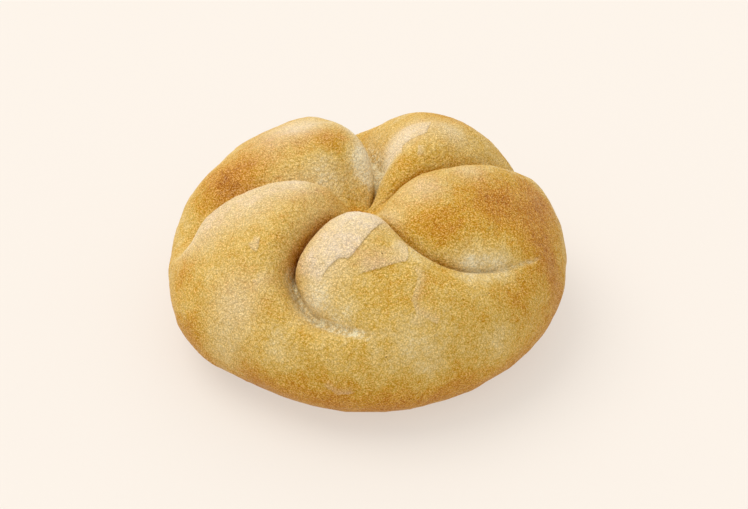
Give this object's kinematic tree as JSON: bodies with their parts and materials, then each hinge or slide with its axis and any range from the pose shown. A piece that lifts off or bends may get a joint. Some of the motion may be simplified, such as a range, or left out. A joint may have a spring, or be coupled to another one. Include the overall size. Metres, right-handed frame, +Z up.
{
  "type": "kaiser roll",
  "caption": "Round baked wheat roll with a flat underside and a crown folded into curved lobes around a deep star.",
  "frame": {"origin": "centre of the roll's bounding box, at the flat underside", "axes": "+Z up out of the crown, +X to the right and +Y to the back as seen from the side where the star's crescent seam opens"},
  "size_m": [0.11, 0.109, 0.0485],
  "materials": {
    "crust": "matt golden-brown baked crust, paler in the seams and darker at the heel"
  },
  "bodies": {
    "root": {"kaiser_roll": "crust"}
  },
  "joints": []
}
